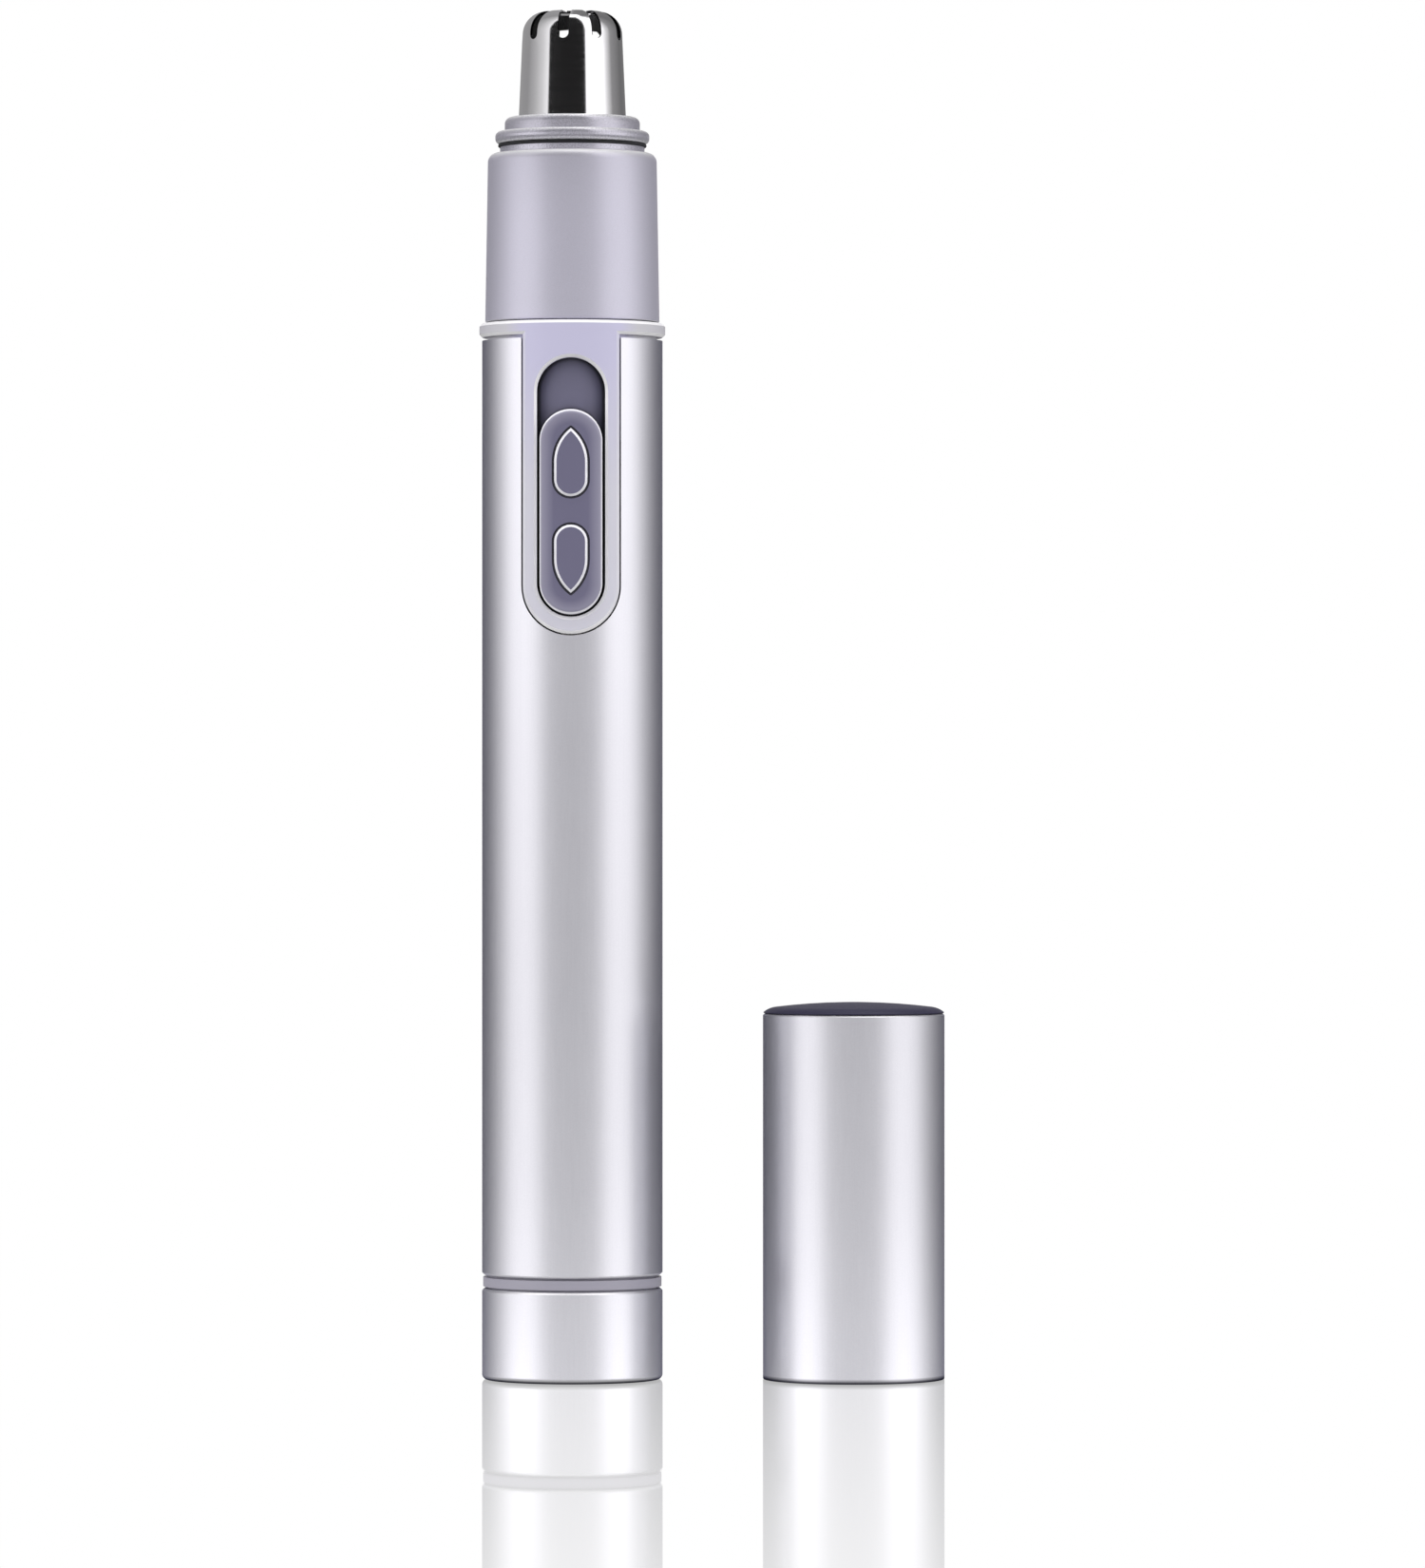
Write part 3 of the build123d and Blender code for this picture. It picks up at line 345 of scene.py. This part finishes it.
def metallic_paint(name, colour, roughness, flat, turned):
    """Metallic paint over plastic: fine flake under thin lacquer, with painted highlights over
    rounds and painted shade in narrow gaps.
    """
    finish = Finish(name)
    finish.set(metallic=0.5, coat_weight=0.1, coat_roughness=0.3)
    flake = finish.noise(0.09, roughness=0.7)
    tone = finish.blend((flake, 0.7), (finish.noise(12), 0.3))
    surface = mottled(finish, finish.spread(tone, *NOISE_RANGE), colour, 0.07)
    # Painted highlight over bevels and rounds.
    surface = finish.mix(bevels(finish, flat, turned), surface, EDGE_HIGHLIGHT)
    # Painted shade: a darkened copy of the colour in narrow gaps.
    finish.colour(finish.mix(finish.open_air(0.3, 0.1, 0.6), shade(colour, 0.1), surface))
    finish.relief(flake, roughness, 0.05, 0.001)
    return finish.material


def polished_steel():
    """Mirror-polished outside with turning marks; its inward faces are painted near black, as
    painted shade inside the head.
    """
    finish = Finish("polished_steel")
    finish.set(metallic=1.0)
    lines = finish.fine_noise(0.15, ROUND_TUBE)
    # Painted shade: inward faces take a near-black colour.
    outside = finish.spread(finish.facing_out(), -0.05, 0.02)
    bright = finish.mix(finish.noise(5, detail=4), (0.84, 0.84, 0.85), (0.92, 0.92, 0.93))
    finish.colour(finish.mix(outside, (0.05, 0.05, 0.055), bright))
    finish.relief(lines, 0.10, 0.03, 0.0005)
    return finish.material


def battery_label():
    """Shrink sleeve: plain grey-blue with a paler positive end and no lettering."""
    finish = Finish("battery_label")
    finish.set(coat_weight=0.5, coat_roughness=0.15)
    low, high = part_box("battery_jacket")
    edge = low.z + 0.72 * (high.z - low.z)
    pale_end = finish.spread(finish.parts(finish.place)["Z"], edge, edge + 0.1 * MM)
    finish.colour(finish.mix(pale_end, (0.10, 0.14, 0.20), (0.50, 0.51, 0.52)))
    finish.relief(finish.noise(2.5, detail=3), 0.3, 0.05, 0.01)
    return finish.material


FINISHES = {
    "anodised_aluminium": anodised_aluminium(),
    "housing_paint": metallic_paint("housing_paint", (0.55, 0.54, 0.62), 0.42, 1.0, 0.6),
    "ring_plastic": metallic_paint("ring_plastic", (0.50, 0.49, 0.55), 0.28, 0.95, 0.6),
    "polished_steel": polished_steel(),
    "battery_label": battery_label(),
    "lavender_plastic": collar_plastic(),
    "band_plastic": plastic("band_plastic", (0.32, 0.31, 0.365), 0.35),
    "slot_plastic": slot_plastic(),
    "button_plastic": button_plastic(),
    "gasket_rubber": plastic("gasket_rubber", (0.012, 0.012, 0.015), 0.6, grain_depth_mm=0.01),
    "plug_plastic": plastic("plug_plastic", (0.02, 0.018, 0.045), 0.45, specular_ior_level=0.3),
    "liner_plastic": plastic("liner_plastic", (0.55, 0.54, 0.62), 0.45),
    "frame_plastic": plastic("frame_plastic", (0.70, 0.70, 0.71), 0.4),
    "stem_plastic": plastic("stem_plastic", (0.76, 0.76, 0.74), 0.35),
    "bearing_plastic": plastic("bearing_plastic", (0.04, 0.04, 0.045), 0.4),
    "coupler_plastic": plastic("coupler_plastic", (0.80, 0.80, 0.77), 0.35),
    "bell_plastic": plastic("bell_plastic", (0.62, 0.61, 0.55), 0.4),
    "battery_paper": plastic("battery_paper", (0.55, 0.50, 0.42), 0.8, grain_mm=0.4),
    "magnet": plastic("magnet", (0.03, 0.03, 0.033), 0.55, grain_mm=0.15),
    "blade_steel": metal("blade_steel", (0.45, 0.45, 0.46), 0.3, brush=ALONG_TUBE, brush_mm=0.1),
    "plated_contact": metal("plated_contact", (0.78, 0.76, 0.72), 0.26, brush=ALONG_TUBE),
    "spring_steel": metal("spring_steel", (0.70, 0.70, 0.70), 0.28),
    "battery_steel": metal("battery_steel", (0.78, 0.78, 0.77), 0.22, brush=ALONG_TUBE),
    "motor_steel": metal("motor_steel", (0.72, 0.73, 0.74), 0.28, brush=ALONG_TUBE),
    "screw_steel": metal("screw_steel", (0.66, 0.66, 0.66), 0.3),
    "core_steel": metal("core_steel", (0.30, 0.30, 0.31), 0.45, brush=(0.1, 0.1, 1), brush_mm=0.35),
    "brass": metal("brass", (0.83, 0.62, 0.28), 0.25),
    "sintered_bronze": metal("sintered_bronze", (0.62, 0.42, 0.24), 0.5, brush_mm=0.12),
    "copper_wire": metal("copper_wire", (0.72, 0.30, 0.13), 0.3, brush=ROUND_TUBE, brush_mm=0.3),
}

for entry in frame["record"]["subparts"]:
    piece = NODES[entry["node"]]
    piece.data.materials.clear()
    piece.data.materials.append(FINISHES[entry["material_slot"]])


# ---------------------------------------------------------------- camera
VIEW_HEIGHT = 56 * MM  # the camera is level, a little under the trimmer's middle
VIEW_SIDE = 13.2 * MM  # half way from the trimmer's axis to its cap's
VIEW_DISTANCE = 850 * MM
LENS = 207.3  # on the default 36 mm sensor, which spans the picture's long side

scene.view_settings.view_transform = "Standard"

camera_data = bpy.data.cameras.new("camera")
camera_data.lens = LENS
camera = bpy.data.objects.new("camera", camera_data)
camera.location = (VIEW_SIDE, -VIEW_DISTANCE, VIEW_HEIGHT)
camera.rotation_euler = (math.pi / 2, 0, 0)
scene.collection.objects.link(camera)
scene.camera = camera


# ---------------------------------------------------------------- studio
# Brightness by bearing from the front, in degrees: a grey card in front, a soft box on each side,
# and darker cards behind them.
WALL = (
    (0, 0.80), (34, 0.82), (48, 2.2), (80, 2.15), (100, 0.95), (120, 0.36), (135, 0.16), (180, 0.4)
)
BACKDROP_BEARING = 174  # a narrow white backdrop spans the last few degrees, for the polished floor
BACKDROP_TOP = 0.10  # as the sine of its height
OVERHEAD = (1.75, 1.75, 1.75)  # a soft light straight above
OVERHEAD_EDGE = (0.80, 0.93)  # where it fades in, as the sine of its height

# Round the steel head, a reflector of its own: a black card in front, a white one to the right, and
# greys elsewhere.
HEAD_LEFT = ((0, 0.012), (48, 0.012), (50, 0.95), (63, 0.68), (82, 0.46), (108, 0.30), (180, 0.34))
HEAD_RIGHT = (
    (0, 0.012), (27, 0.012), (30, 1.4), (67, 1.4), (77, 0.80), (92, 0.28), (125, 0.16), (180, 0.2)
)
REFLECTOR_RADIUS = 30 * MM
REFLECTOR_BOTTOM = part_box("head_ring")[1].z + 1.5 * MM
REFLECTOR_TOP = 300 * MM

# The floor: how its light and its polish fade with the distance from the picture's middle.
FLOOR_SIZE = 6
FLOOR_GLOW, GLOW_FADE = (0.78, 0.22), (50 * MM, 220 * MM)
FLOOR_POLISH, POLISH_FADE = (0.78, 0.0), (10 * MM, 480 * MM)
FLOOR_ROUGHNESS = 0.02
FLOOR_IOR = 1.5


def wall(tree, turn, stops, blue=0.02):
    """Brightness by bearing, from the (degrees, brightness) stops, a little bluish."""
    ramp = tree.add("ShaderNodeValToRGB")
    elements = ramp.color_ramp.elements
    while len(elements) < len(stops):
        elements.new(0.5)
    for element, (degrees, value) in zip(elements, stops):
        element.position = degrees / 180
        element.color = (value, value * 0.985, value + blue, 1.0)
    tree.join(turn, ramp.inputs["Fac"])
    return ramp.outputs["Color"]


def bearing(tree, place):
    """How far a place or direction is round from the front, from 0 to 1 at the back, either way."""
    x, y, _ = tree.parts(place)
    angle = tree.math("ARCTAN2", x, tree.math("MULTIPLY", y, -1.0))
    return tree.math("DIVIDE", tree.math("ABSOLUTE", angle), math.pi)


def studio_world():
    """White to the camera; to the pieces, soft boxes, dark cards and a soft light overhead."""
    world = bpy.data.worlds.new("studio")
    scene.world = world
    tree = Tree(world)
    direction = tree.coordinates("Generated")
    turn = bearing(tree, direction)
    z = tree.parts(direction)["Z"]
    behind = tree.math("GREATER_THAN", turn, BACKDROP_BEARING / 180)
    low = tree.math("LESS_THAN", z, BACKDROP_TOP)
    walls = tree.mix(tree.math("MULTIPLY", behind, low), wall(tree, turn, WALL), WHITE)
    around = tree.mix(tree.spread(z, *OVERHEAD_EDGE), walls, OVERHEAD)
    studio = tree.glow("ShaderNodeBackground", around)
    white = tree.glow("ShaderNodeBackground")
    tree.output(tree.by_camera_ray(studio, white), "ShaderNodeOutputWorld")


def studio_floor():
    """White floor, polished round the object and fading to matt, and brightest under the object."""
    bpy.ops.mesh.primitive_plane_add(size=FLOOR_SIZE, location=(VIEW_SIDE, 0, 0))
    floor = bpy.context.object
    floor.name = "floor"
    material = bpy.data.materials.new("floor")
    tree = Tree(material)
    length = tree.add("ShaderNodeVectorMath", operation="LENGTH")
    tree.join(tree.coordinates("Object"), length.inputs[0])
    distance = length.outputs["Value"]
    lit = tree.glow("ShaderNodeEmission", strength=tree.spread(distance, *GLOW_FADE, *FLOOR_GLOW))
    white = tree.glow("ShaderNodeEmission")
    gloss = tree.add("ShaderNodeBsdfGlossy")
    tree.feed(gloss.inputs["Color"], WHITE)
    tree.feed(gloss.inputs["Roughness"], FLOOR_ROUGHNESS)
    fresnel = tree.add("ShaderNodeFresnel")
    tree.feed(fresnel.inputs["IOR"], FLOOR_IOR)
    polish = tree.spread(distance, *POLISH_FADE, *FLOOR_POLISH)
    shine = tree.math("MULTIPLY", polish, fresnel.outputs[0])
    tree.output(tree.mix_shaders(shine, tree.by_camera_ray(lit, white), gloss.outputs[0]))
    floor.data.materials.append(material)


def head_reflector():
    """A tall ring of cards round the steel head, seen only in reflections."""
    bpy.ops.mesh.primitive_cylinder_add(
        vertices=96,
        radius=REFLECTOR_RADIUS,
        depth=REFLECTOR_TOP - REFLECTOR_BOTTOM,
        end_fill_type="NOTHING",
        location=(0, 0, (REFLECTOR_BOTTOM + REFLECTOR_TOP) / 2),
    )
    cards = bpy.context.object
    cards.name = "head_reflector"
    material = bpy.data.materials.new("head_reflector")
    tree = Tree(material)
    place = tree.coordinates("Object")
    turn = bearing(tree, place)
    right = tree.math("GREATER_THAN", tree.parts(place)["X"], 0.0)
    left_side, right_side = (wall(tree, turn, stops, blue=0) for stops in (HEAD_LEFT, HEAD_RIGHT))
    tree.output(tree.glow("ShaderNodeEmission", tree.mix(right, left_side, right_side)))
    cards.data.materials.append(material)
    cards.visible_camera = False
    cards.visible_diffuse = False
    cards.visible_shadow = False


studio_world()
studio_floor()
head_reflector()
